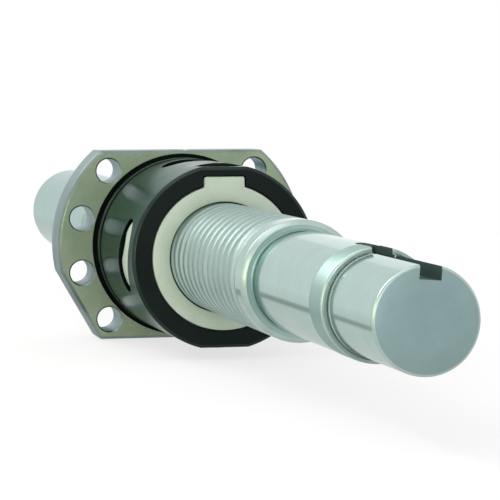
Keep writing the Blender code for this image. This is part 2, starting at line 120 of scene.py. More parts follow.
def machined_steel(name, colour, stain, roughness, feed, depth, edge_tint="#e2eae8", metallic=1.0):
    """Cut or ground steel about the X axis.

    The tool leaves rings. On a cylinder they follow x and on a face they follow the distance
    from the axis, so x + radius numbers them on both. feed is their spacing and depth their
    height in millimetres. Real ones are some hundredths apart and would not show, so they are
    drawn as coarse as they need to be. Faint oil stains, STAIN_SIZE across, shift the colour
    and the gloss. edge_tint is the brightness that the steel keeps at a slant. metallic is
    under 1 where a scuffed or dull skin scatters part of the light.
    """
    mat = bpy.data.materials.new(name)
    mat.use_nodes = True
    tree = mat.node_tree
    shader = tree.nodes["Principled BSDF"]
    place = add(tree, "ShaderNodeTexCoord").outputs["Object"]
    across = add(tree, "ShaderNodeVectorMath", {0: place, 1: (0.0, 1.0, 1.0)},
                 operation="MULTIPLY").outputs[0]
    radius = add(tree, "ShaderNodeVectorMath", {0: across}, operation="LENGTH").outputs["Value"]
    along = add(tree, "ShaderNodeSeparateXYZ", {"Vector": place}).outputs["X"]
    mark = add(tree, "ShaderNodeMath", {0: along, 1: radius}, operation="ADD").outputs[0]
    rings = add(tree, "ShaderNodeTexNoise", {"W": mark, "Scale": 1.0 / (feed * MM), "Detail": 3.0},
                noise_dimensions="1D").outputs["Fac"]
    stains = add(tree, "ShaderNodeTexNoise", {"Vector": place, "Scale": 1.0 / (STAIN_SIZE * MM),
                                              "Detail": 4.0, "Roughness": 0.6}).outputs["Fac"]
    patch = add(tree, "ShaderNodeMapRange", {"Value": stains, "From Min": 0.35, "From Max": 0.75}).outputs[0]
    # The rings carry about a third as much of the colour's change as the stains do.
    blend = add(tree, "ShaderNodeMath", {0: rings, 1: 0.35, 2: patch}, operation="MULTIPLY_ADD").outputs[0]
    tint = add(tree, "ShaderNodeMix", {"Factor": blend, "A": linear(colour), "B": linear(stain)},
               data_type="RGBA", clamp_factor=True)
    gloss = add(tree, "ShaderNodeMapRange", {"Value": blend, "From Max": 1.3, "To Min": roughness,
                                             "To Max": roughness * 1.4}).outputs[0]
    bump = add(tree, "ShaderNodeBump", {"Height": rings, "Strength": 0.6, "Distance": depth * MM})
    tree.links.new(tint.outputs["Result"], shader.inputs["Base Color"])
    tree.links.new(gloss, shader.inputs["Roughness"])
    tree.links.new(bump.outputs["Normal"], shader.inputs["Normal"])
    shader.inputs["Metallic"].default_value = metallic
    shader.inputs["Specular Tint"].default_value = linear(edge_tint)
    return mat


def quads(start, rows, columns, shift=0):
    """Corner numbers of a grid's faces. The last column joins the first, shift rows further on."""
    r, c = np.meshgrid(np.arange(rows - 1), np.arange(columns - 1), indexing="ij")
    low = start + r * columns + c
    inner = np.stack([low, low + 1, low + columns + 1, low + columns], axis=-1).reshape(-1, 4)
    r = np.arange(rows - 1 - shift)
    last = start + r * columns + columns - 1
    first = start + (r + shift) * columns
    return np.vstack([inner, np.stack([last, first, first + columns, last + columns], axis=-1)])


def row_picks(finish, columns):
    """One finish number for each face of a grid, in the order that quads() lists them."""
    finish = np.asarray(finish)
    return np.concatenate([np.repeat(finish, columns - 1), finish])


def round_rows(profile, angles):
    """Rows of points turned about X: each (x, radius) of the profile gives (x, r cos a, r sin a)."""
    x, r = np.asarray(profile, float).T[:, :, None]
    return np.stack([x + 0 * angles, r * np.cos(angles), r * np.sin(angles)], axis=-1)


def turned(points, degrees):
    """Points turned about X by that many degrees."""
    c, s = math.cos(math.radians(degrees)), math.sin(math.radians(degrees))
    x, y, z = np.moveaxis(np.asarray(points, float), -1, 0)
    return np.stack([x, y * c - z * s, y * s + z * c], axis=-1)


def merge_poles(mesh, outward):
    """Rows that shrink to one point become one vertex, and the faces can be turned to point outwards."""
    work = bmesh.new()
    work.from_mesh(mesh)
    bmesh.ops.remove_doubles(work, verts=work.verts, dist=1e-6)
    bmesh.ops.dissolve_degenerate(work, edges=work.edges, dist=1e-6)
    if outward:
        bmesh.ops.recalc_face_normals(work, faces=work.faces)
    work.to_mesh(mesh)
    work.free()


def solid(name, points, faces, finishes, picks=None, sharp=30.0, outward=False):
    """A mesh object at the origin from points in millimetres.

    picks gives each face's finish, and an edge that turns by more than sharp degrees stays hard.
    """
    mesh = bpy.data.meshes.new(name)
    corners = (np.asarray(points).reshape(-1, 3) * MM).tolist()
    mesh.from_pydata(corners, [], [list(map(int, face)) for face in faces])
    for finish in finishes:
        mesh.materials.append(finish)
    if picks is not None:
        mesh.polygons.foreach_set("material_index", np.asarray(picks, dtype=np.int32))
    merge_poles(mesh, outward)
    mesh.shade_smooth()
    mesh.set_sharp_from_angle(angle=math.radians(sharp))
    made = bpy.data.objects.new(name, mesh)
    bpy.context.scene.collection.objects.link(made)
    return made


def cut(piece, cutters, sharp=30.0):
    """Takes the cutters' volume out of a piece. Cut walls keep the cutter's finish."""
    for cutter in cutters:
        taken = piece.modifiers.new(cutter.name, "BOOLEAN")
        taken.operation = "DIFFERENCE"
        taken.solver = "EXACT"
        taken.material_mode = "TRANSFER"
        taken.object = cutter
    graph = bpy.context.evaluated_depsgraph_get()
    mesh = bpy.data.meshes.new_from_object(piece.evaluated_get(graph))
    piece.modifiers.clear()
    piece.data = mesh
    for cutter in cutters:
        bpy.data.objects.remove(cutter, do_unlink=True)
    mesh.shade_smooth()
    mesh.set_sharp_from_angle(angle=math.radians(sharp))


# Cylindrical grinding leaves nearly a mirror: the journals show the lamps as clear bands.
ground_steel = machined_steel("ground_bearing_steel", "#bfd3cf", "#b6cbc6",
                              roughness=0.10, feed=0.35, depth=0.0002)
# The tail keeps the bar's drawn skin, a little softer than the journals.
tail_steel = machined_steel("drawn_tail_steel", "#bfd5d2", "#b6cbc8",
                            roughness=0.11, feed=0.35, depth=0.0004, edge_tint="#cfdcda")
# Profile grinding and a film of grease leave the groove dull, with no clear reflection.
thread_steel = machined_steel("ground_thread_steel", "#a1b3af", "#96a8a4",
                              roughness=0.54, feed=0.25, depth=0.0008, edge_tint="#c9d4d1", metallic=0.4)
# Between grooves the land is ground, but handled and greasy: soft light lines.
crest_steel = machined_steel("ground_crest_steel", "#a7bbb6", "#9bafaa",
                             roughness=0.36, feed=0.25, depth=0.0005)
# The bar's ends are faced on a lathe: an even satin grey.
faced_steel = machined_steel("faced_bar_steel", "#93abab", "#8aa2a2",
                             roughness=0.34, feed=0.45, depth=0.002)
# Turned chamfers catch a thin bright line of light.
chamfer_steel = machined_steel("turned_chamfer_steel", "#bccfc9", "#a9bdb7",
                               roughness=0.28, feed=0.30, depth=0.001)
# The relief groove is rough turned and dull; its darker colour is painted shade on the groove's floor.
shaded_relief_steel = machined_steel("turned_relief_steel_painted_shade", "#7f9b96", "#6f8c87",
                              roughness=0.34, feed=0.60, depth=0.003, edge_tint="#b0bebb", metallic=0.7)
# The fillet that runs up to the shoulder is finish turned; its colour, darker than what is ground, is
# painted shade in the inner corner.
shaded_fillet_steel = machined_steel("turned_shoulder_steel_painted_shade", "#8aa6a1", "#7b9792",
                                roughness=0.28, feed=0.30, depth=0.001, edge_tint="#c4d0cd")
# The band at the journal's end is fine turned: light spreads softly over it.
band_steel = machined_steel("turned_land_steel", "#abc4be", "#9fb8b2",
                            roughness=0.32, feed=0.50, depth=0.001, edge_tint="#ccd8d5")
# The ring's seat and the step behind it are turned; their pale colour is painted light that lifts the shade
# in the gap under the ring.
lifted_recess_steel = machined_steel("turned_recess_steel_painted_light", "#c4d4cf", "#b5c6c1",
                              roughness=0.40, feed=0.50, depth=0.001, edge_tint="#ccd8d5", metallic=0.4)
# End milling leaves the keyway uneven; its dark colour is painted shade in the slot.
shaded_keyway_steel = machined_steel("milled_keyway_steel_painted_shade", "#6f837e", "#566863",
                              roughness=0.42, feed=0.50, depth=0.002, edge_tint="#9aa5a2")

# Across one lead the thread has two points on each broken edge, eleven in the groove and one on
# the land. At a distance t from the groove's middle, the gothic arch puts its floor at
# PITCH_R - sqrt(GROOVE_R ** 2 - (|t| + ARCH_OFFSET) ** 2).
SCREW_COLUMNS = 96
EDGE_DROP = 0.04
screw_angles = np.arange(SCREW_COLUMNS) * TURN / SCREW_COLUMNS
groove_half = math.sqrt(GROOVE_R ** 2 - (PITCH_R - LAND_R) ** 2) - ARCH_OFFSET
flank, break_in, break_out = groove_half * 0.97, groove_half + 0.05, groove_half + 0.16
across_groove = np.concatenate([[-break_out, -break_in], np.linspace(-flank, 0.0, 6),
                                np.linspace(0.3, flank, 5), [break_in, break_out, LEAD / 2 - 0.2]])
from_middle = np.abs(across_groove)
arch = PITCH_R - np.sqrt(np.maximum(GROOVE_R ** 2 - (from_middle + ARCH_OFFSET) ** 2, 0.0))
sunk = np.where(from_middle < groove_half, np.maximum(LAND_R - arch, 0.0), 0.0)
sunk = np.where(from_middle == break_in, EDGE_DROP, sunk)
first_turn, last_turn = THREAD_TURNS
turns = np.arange(first_turn, last_turn + 1)
lead_rows = len(across_groove)
groove_middle = GROOVE_X + LEAD * (turns[:, None, None] + screw_angles / TURN)
thread_x = (groove_middle + across_groove[:, None]).reshape(-1, SCREW_COLUMNS)
fade_in_x = GROOVE_X + LEAD * (first_turn + 1)
fade_out_x = GROOVE_X + LEAD * last_turn + 2.7
fade = (np.clip((thread_x - fade_in_x) / THREAD_FADE, 0.0, 1.0)
        * np.clip((fade_out_x - thread_x) / THREAD_FADE, 0.0, 1.0))
thread_r = LAND_R - np.tile(sunk, len(turns))[:, None] * fade
thread_rows = np.stack([thread_x, thread_r * np.cos(screw_angles), thread_r * np.sin(screw_angles)],
                       axis=-1)

# Each station is (x, radius, finish of the strip after it). Chamfers have a small softening at
# both ends, and a station half a millimetre in from an edge keeps a long surface evenly shaded.
GROUND, THREAD, FACED, EDGE, RELIEF, LAND, SHOULDER, RECESS, CREST, TAIL = range(10)
screw_finishes = [ground_steel, thread_steel, faced_steel, chamfer_steel, shaded_relief_steel, band_steel,
                  shaded_fillet_steel, lifted_recess_steel, crest_steel, tail_steel]
tail_stations = [
    (TAIL_X, 0.0, FACED), (TAIL_X, LAND_R * 0.5, FACED), (TAIL_X, LAND_R - 1.0, EDGE),
    (TAIL_X + 0.12, LAND_R - 0.82, EDGE), (TAIL_X + 0.9, LAND_R - 0.06, EDGE),
    (TAIL_X + 1.1, LAND_R, TAIL), (TAIL_X + 1.6, LAND_R, TAIL), (TAIL_MIDDLE_X, LAND_R, TAIL),
    (GROOVE_X + LEAD * first_turn - groove_half - 1.0, LAND_R, TAIL)]
# The relief groove meets the shoulder in a quarter circle.
quarter = math.pi / 2
bend = np.linspace(0.0, quarter, 5)
fillet_x = SHOULDER_X + FILLET_R * (1.0 - np.cos(bend))
fillet_r = RELIEF_R + FILLET_R * (1.0 - np.sin(bend))
# The fillet's strips take the painted shade of the shoulder finish.
fillet = list(zip(fillet_x, fillet_r, [SHOULDER] * 4 + [RELIEF]))
seat_end = BAND_END_X + SEAT_LENGTH
step_end = seat_end + STEP_LENGTH
head_stations = [
    (SHOULDER_X - 2.1, LAND_R, GROUND), (SHOULDER_X - 1.62, LAND_R, EDGE),
    (SHOULDER_X - 1.45, LAND_R - 0.06, EDGE), (SHOULDER_X - 0.08, LAND_R - 1.42, EDGE),
    (SHOULDER_X, LAND_R - 1.55, LAND), *fillet,
    (SHOULDER_X + 1.4, RELIEF_R, RELIEF), (JOURNAL_X - 1.4, RELIEF_R, RELIEF),
    (JOURNAL_X - 0.9, RELIEF_R, EDGE), (JOURNAL_X - 0.1, JOURNAL_R - 0.04, EDGE),
    (JOURNAL_X + 0.1, JOURNAL_R, GROUND), (JOURNAL_X + 0.6, JOURNAL_R, GROUND),
    (BAND_X - 0.6, JOURNAL_R, GROUND), (BAND_X - 0.1, JOURNAL_R, EDGE),
    (BAND_X + 0.3, BAND_R, LAND), (BAND_X + 0.8, BAND_R, LAND),
    (BAND_END_X - 1.4, BAND_R, LAND), (BAND_END_X - 0.9, BAND_R, LAND),
    (BAND_END_X - 0.75, BAND_R - 0.05, EDGE), (BAND_END_X - 0.04, BAND_R - 0.74, EDGE),
    (BAND_END_X, BAND_R - 0.85, RECESS), (BAND_END_X, SEAT_R, RECESS),
    (seat_end, SEAT_R, RECESS), (seat_end, STEP_R + 0.15, RECESS),
    (seat_end + 0.15, STEP_R, RECESS), (step_end - 0.1, STEP_R, EDGE),
    (step_end + 0.35, DRIVE_R - 0.03, EDGE), (step_end + 0.5, DRIVE_R, GROUND),
    (step_end + 1.0, DRIVE_R, GROUND), (END_X - 1.2, DRIVE_R, GROUND),
    (END_X - 0.7, DRIVE_R, EDGE), (END_X - 0.58, DRIVE_R - 0.05, EDGE),
    (END_X - 0.06, DRIVE_R - 0.55, EDGE), (END_X, DRIVE_R - 0.66, FACED),
    (END_X, DRIVE_R * 0.5, FACED), (END_X, 0.0, FACED)]
tail_rows = round_rows([(x, r) for x, r, _ in tail_stations], screw_angles)
head_rows = round_rows([(x, r) for x, r, _ in head_stations], screw_angles)
tail_finish = [finish for _, _, finish in tail_stations[:-1]]
head_finish = [finish for _, _, finish in head_stations[:-1]]

# The three grids lie one after another: tail, thread and head. Each pair is joined by a strip
# over all columns but the last, where the thread's grid steps by one lead, and one flat face
# with many corners closes that step.
tail_count, thread_count, head_count = len(tail_rows), len(thread_rows), len(head_rows)
thread_start = tail_count * SCREW_COLUMNS
head_start = thread_start + thread_count * SCREW_COLUMNS
tail_last = thread_start - SCREW_COLUMNS
thread_last = head_start - SCREW_COLUMNS
column = np.arange(SCREW_COLUMNS - 1)
low_join = np.stack([tail_last + column, tail_last + column + 1,
                     thread_start + column + 1, thread_start + column], axis=-1)
high_join = np.stack([thread_last + column, thread_last + column + 1,
                      head_start + column + 1, head_start + column], axis=-1)
one_lead = np.arange(lead_rows + 1) * SCREW_COLUMNS
low_close = [thread_start - 1, tail_last, *(thread_start + one_lead), thread_start + SCREW_COLUMNS - 1]
high_close = [thread_last, head_start, head_start + SCREW_COLUMNS - 1, *(head_start - 1 - one_lead)]

# A strip that starts inside the groove, or on its nearer broken edge, is groove; the rest is land.
in_groove = (from_middle < groove_half) | (across_groove == -break_in)
thread_finish = np.where(np.tile(in_groove, len(turns))[:-1], THREAD, CREST)
thread_picks = np.concatenate([np.repeat(thread_finish, SCREW_COLUMNS - 1), thread_finish[:-lead_rows]])
screw_faces = [*quads(0, tail_count, SCREW_COLUMNS), *low_join,
               *quads(thread_start, thread_count, SCREW_COLUMNS, lead_rows), *high_join,
               *quads(head_start, head_count, SCREW_COLUMNS), low_close, high_close]
screw_picks = np.concatenate([row_picks(tail_finish, SCREW_COLUMNS), np.full(len(low_join), TAIL),
                              thread_picks, np.full(len(high_join), GROUND),
                              row_picks(head_finish, SCREW_COLUMNS), [TAIL, GROUND]])
screw = solid("ground_screw", np.concatenate([tail_rows, thread_rows, head_rows]), screw_faces,
              screw_finishes, screw_picks)

# The keyway is an end-milled slot, open at the drive end: its outline is a half circle and two
# straight sides, carried up from the floor. Each level is (height, size), and size 0 is the
# outline shrunk to one point.
key_half = KEY_WIDTH / 2
open_x = END_X + 2.0
key_top = BAND_R + 2.0
half_turn = np.linspace(0.5, 1.5, 25) * math.pi
key_x = np.concatenate([[open_x], KEY_START_X + key_half + key_half * np.cos(half_turn), [open_x]])[::-1]
key_y = np.concatenate([[key_half], key_half * np.sin(half_turn), [-key_half]])[::-1]
key_levels = [(KEY_FLOOR, 0.0), (KEY_FLOOR, 1.0), (key_top, 1.0), (key_top, 0.0)]
key_rows = [np.stack([KEY_MIDDLE_X + (key_x - KEY_MIDDLE_X) * size, key_y * size, 0 * key_x + z], axis=-1)
            for z, size in key_levels]
keyway = solid("keyway_cutter", turned(key_rows, KEY_TURN), quads(0, len(key_levels), len(key_x)),
               [shaded_keyway_steel], outward=True)
cut(screw, [keyway])
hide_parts("screw_shaft")
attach(screw, "screw")

# The nut body.
# Case-hardened steel: a flange with eight bolt holes, two flats and one bevelled corner, and a
# long barrel. The flange is ground bright; the barrel and the near end face stay dark.
nut_low, nut_high = reach("nut_body")
FLANGE_T = -nut_low[0]
NUT_X, FLANGE_R, FLANGE_HALF_H = nut_high
FLANGE_CUT = 44.3
FLANGE_CUT_AT = math.radians(210.0)
RECESS_R = 33.6
RECESS_DEEP = 0.8
UNDERCUT_R = 30.6
BARREL_R = 32.4
WAIST_R = 31.8
NUT_FLAT = 31.3
FLAT_X = 64.7
BORE_R = 20.75
POCKET_R = 25.7
HOLE_R = 4.5
HOLE_CIRCLE_R = 39.0
HOLE_ANGLES = np.radians([-45.0, -15.0, 15.0, 45.0, 135.0, 165.0, 195.0, 225.0])
# The wipers stand WIPER_DROP inside the nut's ends, and PLAY is left between all such pieces.
PLAY = 0.32
WIPER_DROP = 0.2
NEAR_WIPER_T = 7.4
FAR_WIPER_T = 5.6

# The flange's face is ground and keeps a greenish film of oil.
flange_steel = machined_steel("ground_flange_steel", "#9cad92", "#8c9d83",
                              roughness=0.26, feed=0.40, depth=0.0012, edge_tint="#dce2d8", metallic=0.55)
# Its rim is turned only: greyer, with coarser rings.
rim_steel = machined_steel("turned_rim_steel", "#839595", "#748687",
                           roughness=0.30, feed=0.55, depth=0.002, edge_tint="#dde4e4")
# The barrel is polished over its hardened skin, so it is dark with clear light bands.
barrel_steel = machined_steel("polished_barrel_steel", "#232b29", "#1d2423",
                              roughness=0.16, feed=0.40, depth=0.0004, edge_tint="#b9ccc6")
# The end face keeps its black hardening scale: matt, nearly no reflection.
black_steel = machined_steel("black_hardening_scale", "#191f1d", "#222926",
                             roughness=0.60, feed=0.60, depth=0.002, edge_tint="#8a9290", metallic=0.6)
# Broken edges are cut after hardening and shine.
bright_steel = machined_steel("bright_turned_edge", "#8d9b93", "#77857d",
                              roughness=0.28, feed=0.30, depth=0.001, edge_tint="#c9d0cc")
# The end bevel is a shade lighter than the face; its dark colour is a painted dark reflection of the floor
# below.
shaded_bevel_steel = machined_steel("turned_bevel_steel_painted_shade", "#38423f", "#2f3936",
                             roughness=0.32, feed=0.30, depth=0.001, edge_tint="#c9d0cc")
# Little light gets into the undercut: its near-black colour is painted shade, and the front recess, the
# waist groove and the pocket walls take it too.
painted_shade_steel = machined_steel("shadowed_undercut", "#171d1b", "#101513",
                              roughness=0.45, feed=0.60, depth=0.002, edge_tint="#a0a6a4")
# Drilled and reamed walls are mid grey with a soft sheen.
bore_steel = machined_steel("ground_hole_steel", "#8fa2a4", "#7b8d90",
                            roughness=0.30, feed=0.30, depth=0.001, edge_tint="#dde4e4")

# The columns stand evenly round the nut, and where a corner of its outline is near, on the corner.
flat_corner = math.asin(FLANGE_HALF_H / FLANGE_R)
cut_corner = math.acos(FLANGE_CUT / FLANGE_R)
near_corner = math.acos(NUT_FLAT / BARREL_R)
corners = np.array([flat_corner, math.pi - flat_corner, math.pi + flat_corner, TURN - flat_corner,
                    FLANGE_CUT_AT - cut_corner, FLANGE_CUT_AT + cut_corner,
                    quarter - near_corner, quarter + near_corner,
                    3 * quarter - near_corner, 3 * quarter + near_corner])
even = np.arange(216) * TURN / 216
clear = np.abs(even[:, None] - corners).min(axis=1) > math.radians(0.5)
nut_angles = np.sort(np.concatenate([corners, even[clear]]))


def nut_row(x, radius, half_height=math.inf, cut_limit=math.inf):
    """One row round the nut: the circle, held back to the flats at |z| = half_height and to the bevel."""
    rise = np.maximum(np.abs(np.sin(nut_angles)), 1e-9)
    facing = np.maximum(np.cos(nut_angles - FLANGE_CUT_AT), 1e-9)
    r = np.minimum(np.minimum(radius, half_height / rise), cut_limit / facing)
    return np.stack([x + 0 * r, r * np.cos(nut_angles), r * np.sin(nut_angles)], axis=-1)


def flange_row(x, inset):
    """The flange's outline, pulled in by inset."""
    return nut_row(x, FLANGE_R - inset, FLANGE_HALF_H - inset, FLANGE_CUT - inset)


def end_row(x, inset):
    """The barrel's near end, with a flat at the top and the bottom, pulled in by inset."""
    return nut_row(x, BARREL_R - inset, NUT_FLAT - inset)


# The nut's skin runs forward along the outside and back through the bore. Each row comes with
# the finish of the strip after it. The flange's edges are chamfered by one millimetre:
# FLANGE_EDGE gives (distance from the face, inset), softened at both ends.
FACE, RIM, BARREL, BLACK, BRIGHT, UNDERCUT, BORE, BEVEL = range(8)
nut_finishes = [flange_steel, rim_steel, barrel_steel, black_steel, bright_steel, painted_shade_steel, bore_steel,
                shaded_bevel_steel]
FLANGE_EDGE = [(0.0, 1.0), (0.12, 0.82), (0.9, 0.08), (1.05, 0.0), (1.5, 0.0)]
front_floor = NUT_X - WIPER_DROP - NEAR_WIPER_T - PLAY
rear_floor = -FLANGE_T + WIPER_DROP + FAR_WIPER_T + PLAY
back_edge = [flange_row(-FLANGE_T + depth, inset) for depth, inset in FLANGE_EDGE]
front_edge = [flange_row(-depth, inset) for depth, inset in reversed(FLANGE_EDGE)]
nut_rows = [
    (nut_row(-FLANGE_T, POCKET_R + 0.4), FACE),
    *zip(back_edge, (BRIGHT, BRIGHT, BRIGHT, RIM, RIM)),
    *zip(front_edge, (RIM, BRIGHT, BRIGHT, BRIGHT, FACE)),
    # The front recess and the waist groove are UNDERCUT: painted shade.
    (nut_row(0.0, RECESS_R + 0.25), BRIGHT), (nut_row(-0.25, RECESS_R), UNDERCUT),
    (nut_row(-RECESS_DEEP, RECESS_R), UNDERCUT), (nut_row(-RECESS_DEEP, UNDERCUT_R), UNDERCUT),
    (nut_row(2.0, UNDERCUT_R), BRIGHT), (nut_row(2.4, BARREL_R - 0.05), BRIGHT),
    (nut_row(2.55, BARREL_R), BRIGHT), (nut_row(3.0, BARREL_R), BRIGHT),
    (nut_row(7.0, BARREL_R), UNDERCUT), (nut_row(7.2, WAIST_R), UNDERCUT),
    (nut_row(10.4, WAIST_R), UNDERCUT), (nut_row(10.6, BARREL_R), BARREL),
    (nut_row(11.1, BARREL_R), BARREL), (nut_row(FLAT_X, BARREL_R), BARREL),
    (end_row(FLAT_X, 0.0), BARREL), (nut_row(NUT_X - 1.6, BARREL_R, NUT_FLAT), BARREL),
    (end_row(NUT_X - 1.15, 0.0), BEVEL), (end_row(NUT_X - 1.0, 0.08), BEVEL),
    (end_row(NUT_X - 0.1, 1.0), BLACK), (end_row(NUT_X, 1.15), BLACK),
    (nut_row(NUT_X, POCKET_R + 0.3), BLACK), (nut_row(NUT_X - 0.3, POCKET_R), BORE),
    (nut_row(front_floor, POCKET_R), BORE)]
# Inside, the ball groove is a height over the bore: BORE_R plus the arch at the distance t from
# the nearest groove, where t = x - GROOVE_X - LEAD * angle / TURN, less a whole number of leads.
# It fades in and out over 2 mm.
BORE_GROOVE = (9.0, 66.8)
bore_x = np.concatenate([[front_floor], np.arange(67.5, 8.0, -0.6), [rear_floor]])[:, None]
t = (bore_x - GROOVE_X - LEAD * nut_angles / TURN + LEAD / 2) % LEAD - LEAD / 2
groove = PITCH_R + np.sqrt(np.maximum(GROOVE_R ** 2 - (np.abs(t) + ARCH_OFFSET) ** 2, 0.0))
inside = (np.clip((bore_x - BORE_GROOVE[0]) / 2.0, 0.0, 1.0)
          * np.clip((BORE_GROOVE[1] - bore_x) / 2.0, 0.0, 1.0))
bore_r = BORE_R + np.maximum(groove - BORE_R, 0.0) * inside
bore_rows = np.stack([bore_x + 0 * bore_r, bore_r * np.cos(nut_angles), bore_r * np.sin(nut_angles)],
                     axis=-1)
outside_rows = [row for row, _ in nut_rows]
rear_rows = [nut_row(rear_floor, POCKET_R), nut_row(-FLANGE_T + 0.4, POCKET_R)]
nut_points = np.concatenate([outside_rows, bore_rows, rear_rows, outside_rows[:1]])
nut_picks = row_picks([pick for _, pick in nut_rows] + [BORE] * (len(bore_rows) + 1) + [BRIGHT],
                      len(nut_angles))
nut = solid("flanged_nut", nut_points, quads(0, len(nut_points), len(nut_angles)), nut_finishes, nut_picks)

# Bolt holes: drilled through, with both mouths broken by half a millimetre.
RING_COLUMNS = 48
ring_angles = np.arange(RING_COLUMNS) * TURN / RING_COLUMNS
hole_profile = [(-FLANGE_T - 1.0, 0.0), (-FLANGE_T - 1.0, HOLE_R + 1.5), (-FLANGE_T + 0.5, HOLE_R),
                (-0.5, HOLE_R), (1.0, HOLE_R + 1.5), (1.0, 0.0)]
hole = round_rows(hole_profile, ring_angles)
hole_centres = np.stack([0 * HOLE_ANGLES, HOLE_CIRCLE_R * np.cos(HOLE_ANGLES),
                         HOLE_CIRCLE_R * np.sin(HOLE_ANGLES)], axis=-1)
hole_points = hole[None] + hole_centres[:, None, None]
one_hole = quads(0, len(hole_profile), RING_COLUMNS)
hole_faces = np.concatenate([one_hole + n * len(hole_profile) * RING_COLUMNS
                             for n in range(len(hole_centres))])
hole_picks = np.tile(row_picks([0, 1, 0, 1, 0], RING_COLUMNS), len(hole_centres))
holes = solid("hole_cutter", hole_points, hole_faces, [bore_steel, bright_steel], hole_picks, outward=True)

# Pockets for the four ball returns: rounded slots milled through the wall, tilted across the
# lead. Each place is (angle round the axis in degrees, x of its middle).
RETURN_PLACES = ((180.0, 57.0), (0.0, 45.0), (90.0, 31.0), (270.0, 19.0))
RETURN_HALF_W = 7.5
RETURN_HALF_L = 13.0
RETURN_TILT = math.radians(24.5)
SLOT_COLUMNS = 72


def slot_rows(place, half_w, half_l, levels):
    """Rows of a rounded slot in the barrel at (angle, x).

    Each level is (radius, scale, drop). The slot's outline has half circles at both ends; its point
    (across, along) stands at x = x0 + across and tangent distance along, at the height
    sqrt(radius ** 2 - along ** 2) - drop over the axis.
    """
    angle, x0 = place
    a = (np.arange(SLOT_COLUMNS) + 0.5) * TURN / SLOT_COLUMNS
    run = half_w * np.cos(a) + np.sign(np.cos(a)) * (half_l - half_w)
    wide = half_w * np.sin(a)
    along = run * math.cos(RETURN_TILT) + wide * math.sin(RETURN_TILT)
    across = -run * math.sin(RETURN_TILT) + wide * math.cos(RETURN_TILT)
    rows = [np.stack([x0 + across * s, -along * s, np.sqrt(r ** 2 - (along * s) ** 2) - drop], axis=-1)
            for r, s, drop in levels]
    return turned(rows, angle - 90.0)


pocket_low, pocket_high = BORE_R - 3.0, BARREL_R + 1.0
pocket_levels = [(pocket_low, 0.0, 0.0), (pocket_low, 1.0, 0.0), (BARREL_R - 0.15, 1.0, 0.0),
                 (pocket_high, 1.15, 0.0), (pocket_high, 0.0, 0.0)]
# The pocket walls take the undercut's painted shade.
pockets = [solid(f"pocket_cutter_{number}",
                 slot_rows(place, RETURN_HALF_W + PLAY, RETURN_HALF_L + PLAY, pocket_levels),
                 quads(0, len(pocket_levels), SLOT_COLUMNS), [painted_shade_steel], outward=True)
           for number, place in enumerate(RETURN_PLACES, 1)]

# A notch in each end takes the wiper's tab, and a port in the top flat leads oil to the thread.
TAB_HALF = 7.2
TAB_TOP = 28.0
TAB_T = 4.0
TAB_MIDDLE_Z = 24.0
NOTCH_FOOT = 21.0
NOTCH_CORNER_R = 0.8
PORT_X = -9.0
PORT_R = 4.0
PORT_FLOOR = 28.0
PORT_BORE_R = 1.5


def notch(name, low_x, high_x):
    """The tab's slot: a rectangle with its two outer corners rounded, carried along x."""
    half, top, r = TAB_HALF + PLAY, TAB_TOP + PLAY, NOTCH_CORNER_R
    a = np.linspace(0.0, quarter, 7)
    y = np.concatenate([[half], half - r + r * np.cos(a), -half + r - r * np.cos(a[::-1]), [-half]])
    rise = top - r + r * np.sin(a)
    z = np.concatenate([[NOTCH_FOOT], rise, rise[::-1], [NOTCH_FOOT]])
    rows = [np.stack([x + 0 * y, y * size, TAB_MIDDLE_Z + (z - TAB_MIDDLE_Z) * size], axis=-1)
            for x, size in ((low_x, 0.0), (low_x, 1.0), (high_x, 1.0), (high_x, 0.0))]
    return solid(name, rows, quads(0, len(rows), len(y)), [black_steel], outward=True)


def upright(profile, angles, x):
    """Rows turned about a line along Z through (x, 0): each (radius, z) gives (x + r cos, r sin, z)."""
    r, z = np.asarray(profile, float).T[:, :, None]
    return np.stack([x + r * np.cos(angles), r * np.sin(angles), z + 0 * angles], axis=-1)


port_low, port_high = BORE_R - 3.0, FLANGE_HALF_H + 1.0
port_profile = [(0.0, port_low), (PORT_BORE_R, port_low), (PORT_BORE_R, PORT_FLOOR), (PORT_R, PORT_FLOOR),
                (PORT_R, FLANGE_HALF_H - 0.4), (PORT_R + 1.4, port_high), (0.0, port_high)]
port = solid("port_cutter", upright(port_profile, ring_angles, PORT_X),
             quads(0, len(port_profile), RING_COLUMNS), [bore_steel], outward=True)
notch_deep = WIPER_DROP + TAB_T + PLAY
notches = [notch("notch_cutter_near", NUT_X - notch_deep, NUT_X + 2.0),
           notch("notch_cutter_far", -FLANGE_T - 2.0, -FLANGE_T + notch_deep)]
cut(nut, [holes, port, *notches, *pockets])
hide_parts("nut_body")
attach(nut, "nut")

# The four ball returns.
# Moulded plastic bridges that sit in the pockets just under the barrel. A channel in the inner
# side lifts each ball over the screw's land and back one lead.
CROSS_DEG = 22.0
CROSS_LIFT = 1.7
CHANNEL_REACH_DEG = 46.0
CHANNEL_COLUMNS = 20
CAP_DROP = 1.1


